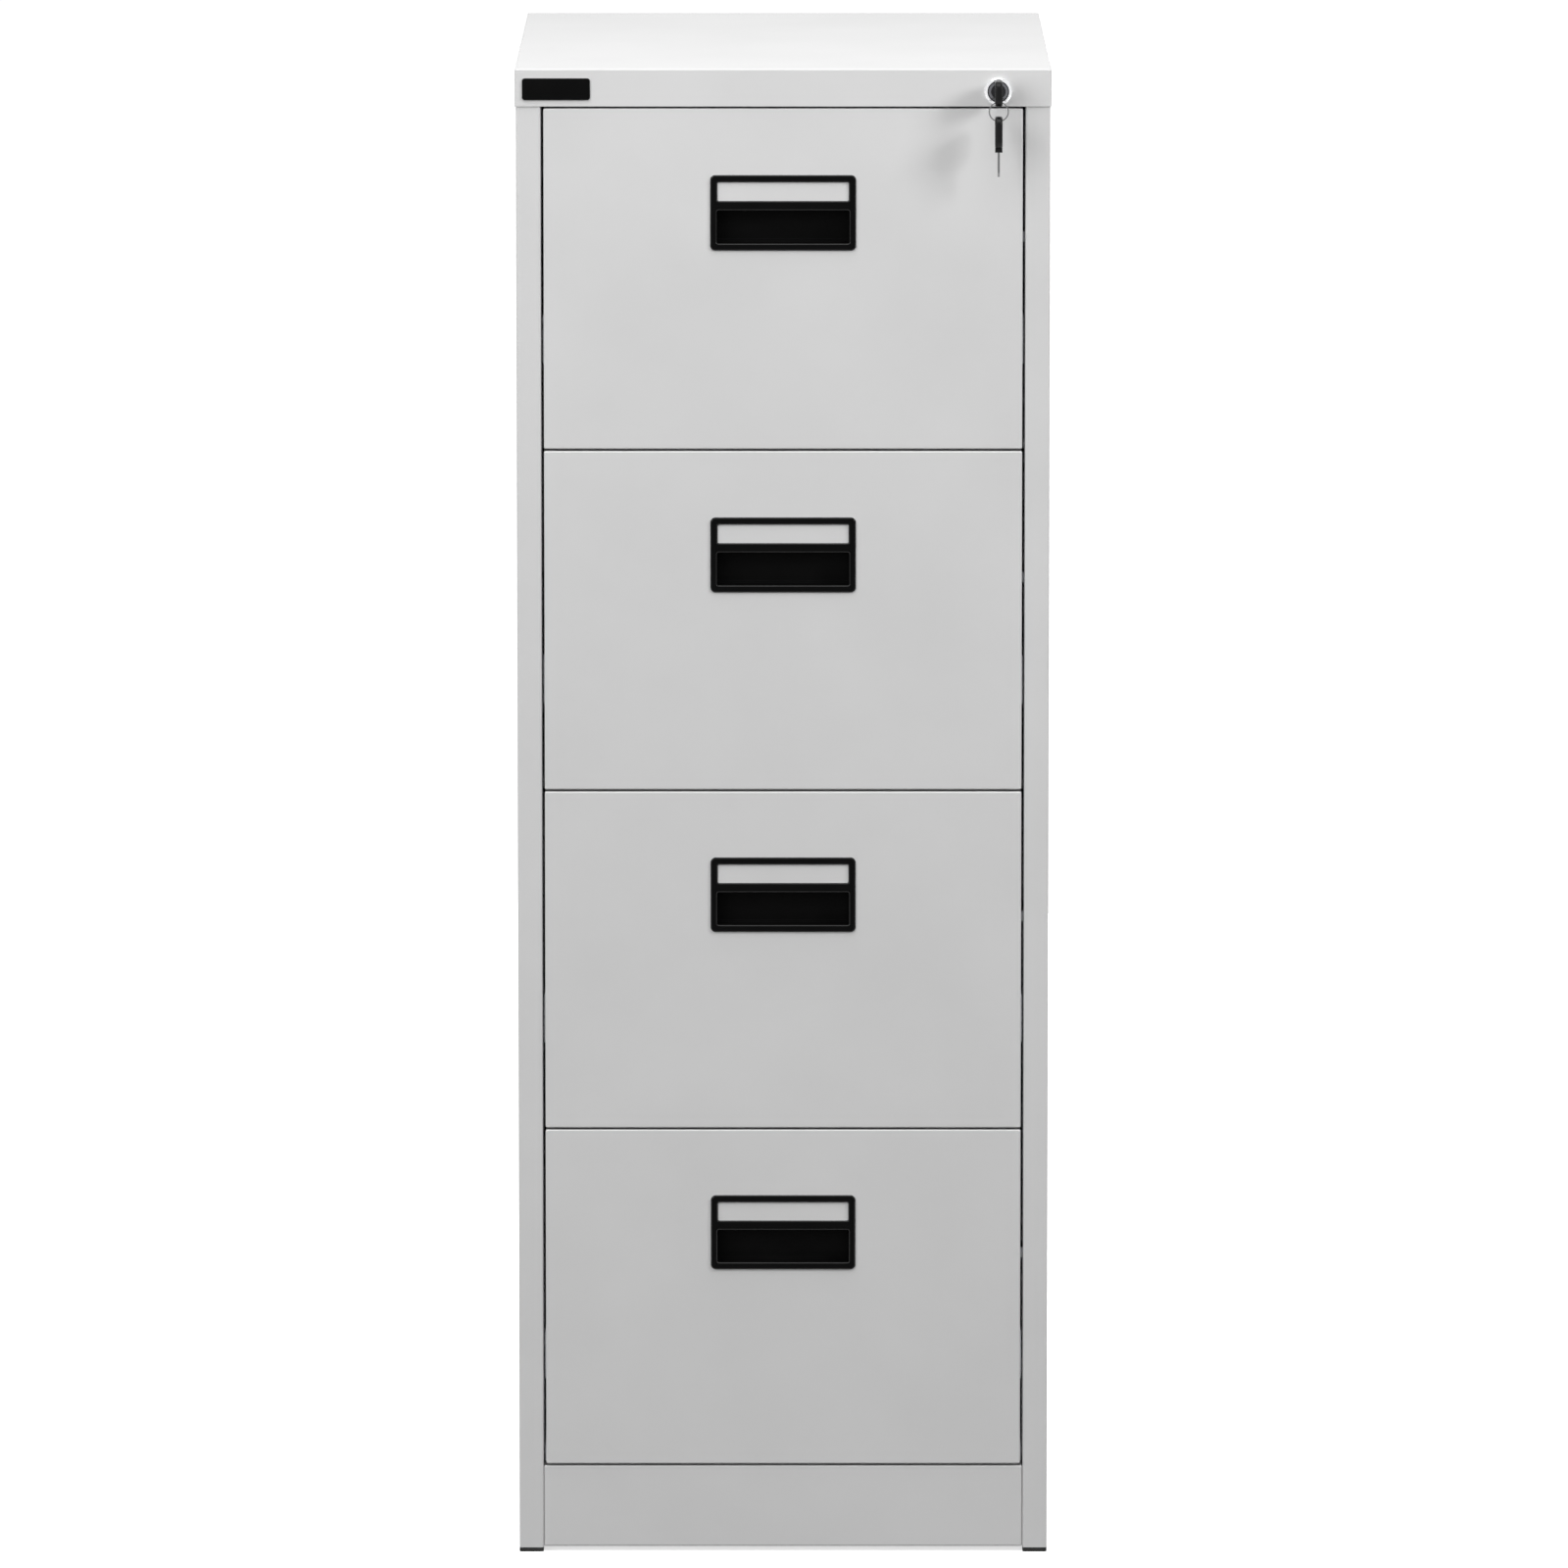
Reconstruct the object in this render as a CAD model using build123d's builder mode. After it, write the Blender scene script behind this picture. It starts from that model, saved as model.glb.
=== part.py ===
"""Four-drawer steel filing cabinet, in millimetres.

The origin is on the floor, under the middle of the whole, keys included. +Z is up and the drawer
fronts face -Y.
The carcass is folded sheet with a cap, a kick plate and four uprights. Each drawer runs on a pair of
three-member telescopic slides, and one cylinder lock lifts a bar that stops all the drawers.
"""

import math
import os

from build123d import *

# Carcass sheet
HEIGHT = 1320.0            # floor to the top of the cap
BODY_WIDTH = 468.0         # outside the side panels
BODY_DEPTH = 618.0         # front of the posts to the rear flanges
SHEET = 0.8                # steel sheet of the carcass and the drawers
BEND = 1.6                 # outside radius of a fold
FIT = 0.2                  # gap between sheet pieces that nest in each other
POST_WIDTH = 21.5          # face of a front post
POST_LIP = 15.0            # return behind the post's inner edge
REAR_FLANGE = 20.0         # return that the back panel is fixed to
FOOT_HEIGHT = 4.0          # floor to the steel

# Cap, kick plate and rails
CAP_FASCIA = 33.0          # height of the cap's turned-down edge
RAIL_SETUP = 0.8           # how far the top rail stays above the fascia's lower edge
RAIL_RETURN = 20.0         # depth of the top rail's fold under the cap
PLINTH_TOP = 77.6          # floor to the top of the kick plate
PLINTH_DEPTH = 25.0        # depth of the kick plate's folded edges
PLINTH_SETBACK = 1.5       # kick plate behind the posts
REAR_RAIL_HEIGHT = 61.0    # rail that closes the bottom of the back
REAR_RAIL_RETURN = 25.0
BACK_LAP = 36.0            # how far the back panel laps over the rear rail

# Feet
FOOT_LENGTH = 40.0
FOOT_EDGE = 1.0            # rounding of the pad's lower edge
PLUG_HEIGHT = 12.0         # plug that is pushed into the corner of the side panel
PLUG_LENGTH = 12.0
PLUG_TAPER = 2.0           # degrees

# Uprights that carry the slides
UPRIGHT_WEB = 40.0
UPRIGHT_FLANGE = 12.0
UPRIGHT_BOTTOM = 40.0      # floor to the foot of an upright
UPRIGHT_TOP_GAP = 12.0     # upright below the cap's top sheet
FRONT_UPRIGHT_INSET = 56.0  # front of the carcass to the front upright's web
REAR_UPRIGHT_INSET = 69.0   # back of the carcass to the rear upright's web
ADJUST_SLOT = 14.0         # height of the hook slots punched beside each slide
ADJUST_SLOT_WIDTH = 4.0

# Drawer fronts
DRAWERS = 4
SIDE_GAP = 2.4             # drawer front to post
STACK_GAP = 1.8            # drawer front to drawer front, fascia and kick plate
PAN_DEPTH = 18.0           # depth of the drawer front's folded edges
LINER_DEPTH = 10.0         # depth of the inner front's folded edges

# Drawer boxes
TRAY_RISE = 4.5            # bottom of the front to the bottom of the tray
TRAY_HEIGHT = 236.0
TRAY_LENGTH = 560.0
HEM = 5.5                  # folded top edge that suspension files hang on
HEM_DROP = 8.0
BACK_FLANGE = 12.0
BEADS = 3                  # pressed stiffening beads in the tray's bottom
BEAD_RADIUS = 4.0
BEAD_DEPTH = 1.2
BEAD_INSET = 60.0          # tray ends to the bead ends
BEAD_SPACING = 110.0

# Telescopic slides
SLIDE_MARGIN = 1.3         # slide behind the inner edge of the post
SLIDE_THICKNESS = 12.7     # carcass member's back to drawer member's back
SLIDE_HEIGHT = 45.0
SLIDE_LENGTH = 560.0
SLIDE_RISE = 95.0          # bottom of the front to the middle of the slide
SLIDE_FRONT_GAP = 3.0      # inner front to the slide's front end
MEMBER_SHEET = 1.2
MEMBER_BEND = 2.0
RACE_GAP = 3.0             # height of a ball race
RACE_CLEARANCE = 0.3       # ball strip to the members on both sides
OUTER_REACH = 9.7          # carcass member, back to open edge
INNER_REACH = 7.3          # drawer member, back to open edge
MID_WEB_GAP = 2.0          # carcass member's web to middle member's web
MID_REACH = 7.8            # middle member, back to open edge
BALL_STRIP_WIDTH = 4.0
BALL_STRIP_INSET = 0.5     # ball strip inside the member's open edge
BALL_STRIP_LENGTH = 180.0
SCREW_RADIUS = 2.0
SCREW_HEAD_RADIUS = 3.5
SCREW_HEAD = 1.5
SCREW_TAPER = 20.0         # degrees, side of the head
SCREW_LENGTH = 6.0
SCREW_CLEARANCE = 0.2

# Handles
HANDLE_WIDTH = 128.0
HANDLE_HEIGHT = 66.5
HANDLE_DROP = 58.5         # top of the drawer front to the top of the handle
HANDLE_PROUD = 1.8         # bezel in front of the drawer front
HANDLE_CORNER = 4.5
HANDLE_EDGE = 1.4          # rounding of the bezel's edges
HANDLE_RIM = 6.4           # face of the bezel round the window and the grip
WINDOW_HEIGHT = 16.4       # label window
GRIP_HEIGHT = 29.0         # opening for the fingers
GRIP_WALL = 1.5
GRIP_SIDE_RIM = 6.0
GRIP_DEPTH = 14.5          # drawer front to the back of the grip
GRIP_LEDGE = 12.0          # flat part of the grip's floor
GRIP_SLOPE = 2.5           # chamfer between the floor and the back
BAR_BACK = 1.2             # cross bar behind the face of the drawer front
BAR_UNDERCUT = 4.7         # hollow behind the cross bar
HANDLE_FIT = 0.3
CLIP_LENGTH = 14.0         # snap clips that hold the handle in its cut-out
CLIP_REACH = 1.6
CLIP_DEPTH = 6.0

# Name plate
BADGE_WIDTH = 59.6
BADGE_HEIGHT = 19.2
BADGE_THICKNESS = 1.4
BADGE_CORNER = 2.5
BADGE_INSET = 6.3          # side of the cap to the plate
BADGE_DROP = 8.2           # top of the cap to the plate
BADGE_EDGE = 0.5

# Lock
LOCK_INSET = 46.6          # side of the cap to the lock's axis
LOCK_DROP = 19.8           # top of the cap to the lock's axis
BEZEL_RADIUS = 11.8
BEZEL_PROUD = 3.0
BEZEL_EDGE = 0.8
BEZEL_GROOVE_RADIUS = 9.4
BEZEL_GROOVE = 1.0
BARREL_RADIUS = 8.6
BARREL_LENGTH = 26.0       # barrel behind the fascia
BARREL_FIT = 0.1
PLUG_RADIUS = 6.4
PLUG_CLEARANCE = 0.05
PLUG_RECESS = 0.5          # plug face behind the bezel face
PLUG_TAIL = 1.0            # plug behind the barrel
NUT_FLATS = 20.0
NUT_THICKNESS = 4.0
CAM_THICKNESS = 2.0
CAM_THROW = 8.0            # lock's axis to the cam's pin
CAM_RADIUS = 5.0
PIN_RADIUS = 2.5
PIN_TAIL = 1.0             # pin past the back of the bar
CAM_SCREW_RADIUS = 2.0
CAM_SCREW_HEAD_RADIUS = 4.5
CAM_SCREW_HEAD = 2.4
CAM_SCREW_TAPER = 15.0     # degrees, side of the head
CAM_SCREW_LENGTH = 6.0
LOCK_TURN = 90.0           # degrees between open and locked

# Lock bar
BAR_THICKNESS = 2.0
BAR_WIDTH = 14.0
BAR_SIDE_GAP = 3.2         # bar to the inside of the side panel
BAR_CAM_GAP = 2.6          # cam screw's head to the bar
BAR_TAIL = 85.0            # bar below the lowest catch
SLOT_CLEARANCE = 0.6       # cam pin to the bar's slot
SLOT_EDGE = 3.5            # steel round the slot
LUG_HEIGHT = 9.0
LUG_THICKNESS = 2.0
LUG_SEAT = 10.0            # part of a lug that is riveted to the bar
LUG_BITE = 5.5             # overlap of a lug and a drawer's catch
CATCH_RISE = 190.0         # bottom of the drawer front to the catch
CATCH_REACH = 10.0         # tray's side to the end of the catch
CATCH_THICKNESS = 1.5
CATCH_SEAT = 14.0          # length of the catch's foot along the tray
CATCH_PLAY = 0.5           # catch behind the lug
LUG_DROP = 1.2             # lug below the catch when the lock is open
GUIDE_HEIGHT = 24.0
GUIDE_WALL = 1.9
GUIDE_DEPTH = 10.0
GUIDE_FIT = 0.3
GUIDES = 3

# Keys and their ring
KEY_HEAD_LENGTH = 31.0     # neck included
KEY_HEAD_WIDTH = 22.0
KEY_HEAD_THICKNESS = 6.5
KEY_HEAD_CORNER = 6.5
KEY_HEAD_EDGE = 1.8
KEY_NECK = 3.4             # collar between the head and the blade
KEY_NECK_WIDTH = 12.0
KEY_NECK_THICKNESS = 6.2
KEY_SHOULDER = 1.0         # key head in front of the lock's bezel
KEY_BLADE_LENGTH = 21.6
KEY_BLADE_WIDTH = 7.6
KEY_BLADE_THICKNESS = 1.9
KEY_BLADE_ROOT = 8.0       # blade inside the head
KEY_WAY_FIT = 0.2
KEY_CUTS = 4
KEY_CUT_SHALLOW = 1.02
KEY_CUT_DEEP = 1.7
EYE_LENGTH = 16.8          # slot in the key head
EYE_WIDTH = 5.0
EYE_MARGIN = 2.6           # end of the head to the slot
RING_RADIUS = 8.3          # middle of the wire
RING_WIRE = 1.1
RING_PLAY = 0.15

# Places that follow from the sizes above
X_SIDE = BODY_WIDTH / 2                      # outside of a side panel
X_INSIDE = X_SIDE - SHEET
PAN_EDGE = BEND - SHEET / 4                  # rounding of a pan's edges, under that of its corners
X_POST = X_SIDE - POST_WIDTH                 # inner edge of a post
CAP_LAP = SHEET + FIT                        # cap outside the carcass
EYE_CENTRE = KEY_HEAD_LENGTH - EYE_MARGIN - EYE_WIDTH / 2   # shoulder to the middle of the eye
KEY_REACH = max(KEY_HEAD_LENGTH, EYE_CENTRE + KEY_HEAD_WIDTH / 2)   # the spare key hangs across
KEY_PROUD = BEZEL_PROUD + KEY_SHOULDER + KEY_REACH   # keys in front of the fascia
Y_BACK = (BODY_DEPTH + KEY_PROUD) / 2        # puts the origin in the middle of the depth
Y_FRONT = Y_BACK - BODY_DEPTH
X_CAP = X_SIDE + CAP_LAP
Y_CAP_FRONT = Y_FRONT - CAP_LAP
Y_CAP_BACK = Y_BACK + CAP_LAP
Z_CAP = HEIGHT - CAP_FASCIA                  # lower edge of the cap
Z_BODY_TOP = HEIGHT - CAP_LAP                # top of the side panels

FRONT_HALF = X_POST - SIDE_GAP               # half the width of a drawer front
FRONT_HEIGHT = (Z_CAP - PLINTH_TOP - (DRAWERS + 1) * STACK_GAP) / DRAWERS
Y_PAN = Y_FRONT + PAN_DEPTH                  # back of a drawer front
X_SLIDE = X_POST - SLIDE_MARGIN              # back of the slide's carcass member
TRAY_HALF = X_SLIDE - SLIDE_THICKNESS
Y_TRAY_END = Y_PAN + TRAY_LENGTH
Y_SLIDE = Y_PAN + SLIDE_FRONT_GAP

X_LOCK = X_CAP - LOCK_INSET
Z_LOCK = HEIGHT - LOCK_DROP
Y_BEZEL = Y_CAP_FRONT - BEZEL_PROUD
Y_BARREL_END = Y_CAP_FRONT + BARREL_LENGTH
Y_CAM = Y_BARREL_END + PLUG_TAIL             # front face of the cam
Y_CAM_BACK = Y_CAM + CAM_THICKNESS
Y_BAR = Y_CAM_BACK + CAM_SCREW_HEAD + BAR_CAM_GAP
X_BAR_OUTER = X_INSIDE - BAR_SIDE_GAP
X_BAR_INNER = X_BAR_OUTER - BAR_WIDTH
HALF_TURN = math.radians(LOCK_TURN / 2)
PIN_X = X_LOCK - CAM_THROW * math.cos(HALF_TURN)   # pin when the lock is open
PIN_Z = Z_LOCK - CAM_THROW * math.sin(HALF_TURN)
Y_LUG = Y_BAR + BAR_THICKNESS                # lugs sit on the back of the bar
Y_CATCH = Y_LUG + LUG_THICKNESS + CATCH_PLAY

Y_KEY = Y_BEZEL - KEY_SHOULDER               # shoulder of the key in the lock
Y_RING = Y_KEY - EYE_CENTRE
RING_SAG = RING_RADIUS - math.sqrt(RING_RADIUS**2 - (KEY_HEAD_THICKNESS / 2) ** 2)
Z_RING_TOP = Z_LOCK - EYE_LENGTH / 2 + RING_PLAY + RING_SAG + RING_WIRE / 2
Z_RING = Z_RING_TOP - RING_RADIUS            # centre of the ring
Z_SPARE_EYE = Z_RING - RING_RADIUS + RING_SAG + RING_WIRE / 2 + RING_PLAY - EYE_WIDTH / 2
Z_SPARE = Z_SPARE_EYE - EYE_CENTRE           # shoulder of the spare key


def front_bottom(number):
    """Lower edge of a drawer front. Drawer 1 is the top one."""
    return PLINTH_TOP + STACK_GAP + (DRAWERS - number) * (FRONT_HEIGHT + STACK_GAP)


def facing_front(y):
    """Plane at depth y with X to the right and Z up. A negative extrusion goes into the cabinet."""
    return Plane(origin=(0, y, 0), x_dir=(1, 0, 0), z_dir=(0, -1, 0))


def facing_side(x):
    """Plane across X with Y to the right and Z up."""
    return Plane(origin=(x, 0, 0), x_dir=(0, 1, 0), z_dir=(1, 0, 0))


def save(part, name):
    """Writes a node's file, which holds one solid or a group of them."""
    part.label = name
    export_step(part, f"parts/{name}.step")


def both_sides(part):
    """The part as made for the right-hand side, with its mirror image on the left."""
    with BuildPart() as pair:
        add(part)
        mirror(part, about=Plane.YZ)
    return pair.part


def folded_strip(points, length, side, plane, radius=BEND, sheet=SHEET):
    """Sheet folded along the points of its outer line and run along the plane's normal."""
    with BuildPart() as strip:
        with BuildSketch(plane):
            with BuildLine():
                FilletPolyline(*points, radius=radius)
                offset(amount=sheet, side=side)
            make_face()
        extrude(amount=length)
    return strip.part


def folded_pan(x_half, y_near, y_far, z_low, z_high, open_face):
    """Sheet pan with all four edges folded. open_face is 0 for open at the front, -1 for the back."""
    with BuildPart() as pan:
        with BuildSketch(facing_front(y_near)):
            with Locations((0, (z_low + z_high) / 2)):
                Rectangle(2 * x_half, z_high - z_low)
        extrude(amount=-(y_far - y_near))
        fillet(pan.edges().filter_by(Axis.Y), BEND)
        closed = pan.faces().sort_by(Axis.Y)[-1 - open_face]
        fillet(closed.edges(), PAN_EDGE)
        offset(amount=-SHEET, openings=pan.faces().sort_by(Axis.Y)[open_face])
    return pan.part


os.makedirs("parts", exist_ok=True)

# Side panels: one sheet each, folded into the post, its lip and the rear flange
side_panel_right = folded_strip(
    [
        (X_POST, Y_FRONT + POST_LIP),
        (X_POST, Y_FRONT),
        (X_SIDE, Y_FRONT),
        (X_SIDE, Y_BACK),
        (X_SIDE - REAR_FLANGE, Y_BACK),
    ],
    Z_BODY_TOP - FOOT_HEIGHT,
    Side.LEFT,
    Plane.XY.offset(FOOT_HEIGHT),
)
with BuildPart() as side_panel_left:
    mirror(side_panel_right, about=Plane.YZ)
save(side_panel_right, "side_panel_right")
save(side_panel_left.part, "side_panel_left")

# Top cap: a pan that is open below, with the hole for the lock
with BuildPart() as top_cap:
    with BuildSketch(Plane.XY.offset(Z_CAP)):
        with Locations((0, (Y_CAP_FRONT + Y_CAP_BACK) / 2)):
            Rectangle(2 * X_CAP, Y_CAP_BACK - Y_CAP_FRONT)
    extrude(amount=CAP_FASCIA)
    fillet(top_cap.edges().filter_by(Axis.Z), BEND)
    fillet(top_cap.faces().sort_by(Axis.Z)[-1].edges(), PAN_EDGE)
    offset(amount=-SHEET, openings=top_cap.faces().sort_by(Axis.Z)[0])
    with BuildSketch(facing_front(Y_CAP_FRONT)):
        with Locations((X_LOCK, Z_LOCK)):
            Circle(BARREL_RADIUS + BARREL_FIT)
    extrude(amount=-2 * SHEET, mode=Mode.SUBTRACT)
save(top_cap.part, "top_cap")

# Top rail: joins the posts behind the fascia and carries the lock
with BuildPart() as top_rail:
    with BuildSketch(facing_side(FIT - X_POST)):
        with BuildLine():
            FilletPolyline(
                (Y_FRONT, Z_CAP + RAIL_SETUP),
                (Y_FRONT, Z_BODY_TOP),
                (Y_FRONT + RAIL_RETURN, Z_BODY_TOP),
                radius=BEND,
            )
            offset(amount=SHEET, side=Side.RIGHT)
        make_face()
    extrude(amount=2 * (X_POST - FIT))
    with BuildSketch(facing_front(Y_FRONT)):
        with Locations((X_LOCK, Z_LOCK)):
            Circle(BARREL_RADIUS + BARREL_FIT)
    extrude(amount=-2 * SHEET, mode=Mode.SUBTRACT)
save(top_rail.part, "top_rail")

# Kick plate between the posts
plinth = folded_pan(
    X_POST - FIT,
    Y_FRONT + PLINTH_SETBACK,
    Y_FRONT + PLINTH_SETBACK + PLINTH_DEPTH,
    FOOT_HEIGHT + SHEET,
    PLINTH_TOP,
    -1,
)
save(plinth, "plinth")

# Rail at the bottom of the back, and the back panel that laps over it
Y_BACK_PANEL = Y_BACK - SHEET
Y_REAR_RAIL = Y_BACK_PANEL - SHEET - FIT
Z_REAR_RAIL = FOOT_HEIGHT + FIT + REAR_RAIL_HEIGHT
rear_rail = folded_strip(
    [
        (Y_REAR_RAIL, FOOT_HEIGHT + FIT),
        (Y_REAR_RAIL, Z_REAR_RAIL),
        (Y_REAR_RAIL - REAR_RAIL_RETURN, Z_REAR_RAIL),
    ],
    2 * (X_INSIDE - FIT),
    Side.LEFT,
    facing_side(FIT - X_INSIDE),
)
save(rear_rail, "rear_rail")
back_panel = folded_strip(
    [
        (Y_BACK_PANEL, Z_REAR_RAIL - BACK_LAP),
        (Y_BACK_PANEL, Z_BODY_TOP),
        (Y_BACK_PANEL - REAR_FLANGE, Z_BODY_TOP),
    ],
    2 * (X_INSIDE - BEND),
    Side.LEFT,
    facing_side(BEND - X_INSIDE),
)
save(back_panel, "back_panel")

# Foot caps: a pad under each corner and a plug pushed up into the fold
with BuildPart() as feet_right:
    for y_end, inward, y_plug in (
        (Y_FRONT, 1, Y_FRONT + SHEET + FIT),
        (Y_BACK, -1, Y_REAR_RAIL - SHEET - FIT),
    ):
        with BuildSketch(Plane.XY):
            with Locations(((X_POST + X_SIDE) / 2, y_end + inward * FOOT_LENGTH / 2)):
                RectangleRounded(POST_WIDTH, FOOT_LENGTH, BEND)
        pad = extrude(amount=FOOT_HEIGHT)
        fillet(pad.faces().sort_by(Axis.Z)[0].edges(), FOOT_EDGE)
        with BuildSketch(Plane.XY.offset(FOOT_HEIGHT)):
            with Locations(((X_POST + X_SIDE) / 2, y_plug + inward * PLUG_LENGTH / 2)):
                Rectangle(POST_WIDTH - 2 * (SHEET + FIT), PLUG_LENGTH)
        extrude(amount=PLUG_HEIGHT, taper=PLUG_TAPER)
save(both_sides(feet_right.part), "foot_caps")

# Uprights: hat sections against the side panels, punched for the slides
Y_UPRIGHTS = (Y_FRONT + FRONT_UPRIGHT_INSET, Y_BACK - REAR_UPRIGHT_INSET - UPRIGHT_WEB)
X_FLANGE = X_INSIDE - SHEET
with BuildPart() as uprights_right:
    for y_web in Y_UPRIGHTS:
        with BuildSketch(Plane.XY.offset(UPRIGHT_BOTTOM)):
            with BuildLine():
                FilletPolyline(
                    (X_FLANGE, y_web - UPRIGHT_FLANGE),
                    (X_FLANGE, y_web),
                    (X_SLIDE, y_web),
                    (X_SLIDE, y_web + UPRIGHT_WEB),
                    (X_FLANGE, y_web + UPRIGHT_WEB),
                    (X_FLANGE, y_web + UPRIGHT_WEB + UPRIGHT_FLANGE),
                    radius=BEND,
                )
                offset(amount=SHEET, side=Side.RIGHT)
            make_face()
        extrude(amount=Z_BODY_TOP - UPRIGHT_TOP_GAP - UPRIGHT_BOTTOM)
    for number in range(1, DRAWERS + 1):
        z_slide = front_bottom(number) + SLIDE_RISE
        for y_web in Y_UPRIGHTS:
            with BuildSketch(facing_side(X_SLIDE)):
                with Locations((y_web + UPRIGHT_WEB / 2, z_slide)):
                    Circle(SCREW_RADIUS + SCREW_CLEARANCE)
                    with Locations((0, SLIDE_HEIGHT), (0, -SLIDE_HEIGHT)):
                        SlotOverall(ADJUST_SLOT, ADJUST_SLOT_WIDTH, rotation=90)
            extrude(amount=2 * SHEET, mode=Mode.SUBTRACT)
save(both_sides(uprights_right.part), "uprights")

# Slides: each member nests in the next, with strips of balls between their edges
HALF_OUTER = SLIDE_HEIGHT / 2
HALF_MID = HALF_OUTER - MEMBER_SHEET - RACE_GAP
HALF_INNER = HALF_MID - MEMBER_SHEET - RACE_GAP
X_MID = X_SLIDE - MEMBER_SHEET - MID_WEB_GAP
STRIP_HEIGHT = RACE_GAP - 2 * RACE_CLEARANCE


def member(x_back, reach, half, z_slide):
    """One channel of a slide. A positive reach opens to the right, a negative one to the left."""
    turn = half if reach > 0 else -half
    points = [
        (x_back + reach, z_slide - turn),
        (x_back, z_slide - turn),
        (x_back, z_slide + turn),
        (x_back + reach, z_slide + turn),
    ]
    plane = facing_front(Y_SLIDE)
    return folded_strip(points, -SLIDE_LENGTH, Side.RIGHT, plane, MEMBER_BEND, MEMBER_SHEET)


def slide_members(number):
    """Carcass, middle and drawer members of one drawer's pair of slides."""
    z_slide = front_bottom(number) + SLIDE_RISE
    with BuildPart() as outer:
        add(member(X_SLIDE, -OUTER_REACH, HALF_OUTER, z_slide))
        with BuildSketch(facing_side(X_MID)):
            for y_web in Y_UPRIGHTS:
                with Locations((y_web + UPRIGHT_WEB / 2, z_slide)):
                    Circle(SCREW_RADIUS + SCREW_CLEARANCE)
        extrude(amount=X_SLIDE - X_MID, mode=Mode.SUBTRACT)
    with BuildPart() as middle:
        add(member(X_MID, -MID_REACH, HALF_MID, z_slide))
        x_outer_race = X_SLIDE - OUTER_REACH + BALL_STRIP_INSET + BALL_STRIP_WIDTH / 2
        x_inner_race = TRAY_HALF + INNER_REACH - BALL_STRIP_INSET - BALL_STRIP_WIDTH / 2
        z_outer_race = HALF_MID + RACE_GAP / 2
        z_inner_race = HALF_INNER + RACE_GAP / 2
        with BuildSketch(facing_front(Y_SLIDE + SLIDE_LENGTH - BALL_STRIP_LENGTH)):
            with Locations((x_outer_race, z_slide + z_outer_race), (x_outer_race, z_slide - z_outer_race)):
                RectangleRounded(BALL_STRIP_WIDTH, STRIP_HEIGHT, STRIP_HEIGHT / 3)
        extrude(amount=-BALL_STRIP_LENGTH)
        with BuildSketch(facing_front(Y_SLIDE)):
            with Locations((x_inner_race, z_slide + z_inner_race), (x_inner_race, z_slide - z_inner_race)):
                RectangleRounded(BALL_STRIP_WIDTH, STRIP_HEIGHT, STRIP_HEIGHT / 3)
        extrude(amount=-BALL_STRIP_LENGTH)
    inner = member(TRAY_HALF, INNER_REACH, HALF_INNER, z_slide)
    return outer.part, middle.part, inner


for number in range(1, DRAWERS + 1):
    outer, middle, inner = slide_members(number)
    save(both_sides(outer), f"slide_outer_{number}")
    save(both_sides(middle), f"slide_mid_{number}")
    save(both_sides(inner), f"slide_inner_{number}")

# Screws through the carcass members into the uprights
with BuildPart() as screws_right:
    for number in range(1, DRAWERS + 1):
        for y_web in Y_UPRIGHTS:
            seat = Plane(
                origin=(X_SLIDE - MEMBER_SHEET, y_web + UPRIGHT_WEB / 2, front_bottom(number) + SLIDE_RISE),
                x_dir=(0, 1, 0),
                z_dir=(1, 0, 0),
            )
            with BuildSketch(seat):
                Circle(SCREW_RADIUS)
            extrude(amount=SCREW_LENGTH)
            with BuildSketch(seat):
                Circle(SCREW_HEAD_RADIUS)
            extrude(amount=-SCREW_HEAD, taper=SCREW_TAPER)
save(both_sides(screws_right.part), "slide_screws")

# Drawers: front, inner front, tray, catch, back and handle
GRIP_HALF = HANDLE_WIDTH / 2 - GRIP_SIDE_RIM


def drawer_front(z_front):
    """Folded front with the cut-out for the handle."""
    z_grip = z_front + FRONT_HEIGHT - HANDLE_DROP - HANDLE_HEIGHT + HANDLE_RIM
    cut_low = z_grip - GRIP_WALL - HANDLE_FIT
    cut_high = z_grip + GRIP_HEIGHT + BAR_UNDERCUT + GRIP_WALL + HANDLE_FIT
    with BuildPart() as front:
        add(folded_pan(FRONT_HALF, Y_FRONT, Y_PAN, z_front, z_front + FRONT_HEIGHT, -1))
        with BuildSketch(facing_front(Y_FRONT)):
            with Locations((0, (cut_low + cut_high) / 2)):
                Rectangle(2 * (GRIP_HALF + GRIP_WALL + HANDLE_FIT), cut_high - cut_low)
        extrude(amount=-2 * SHEET, mode=Mode.SUBTRACT)
    return front.part


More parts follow.
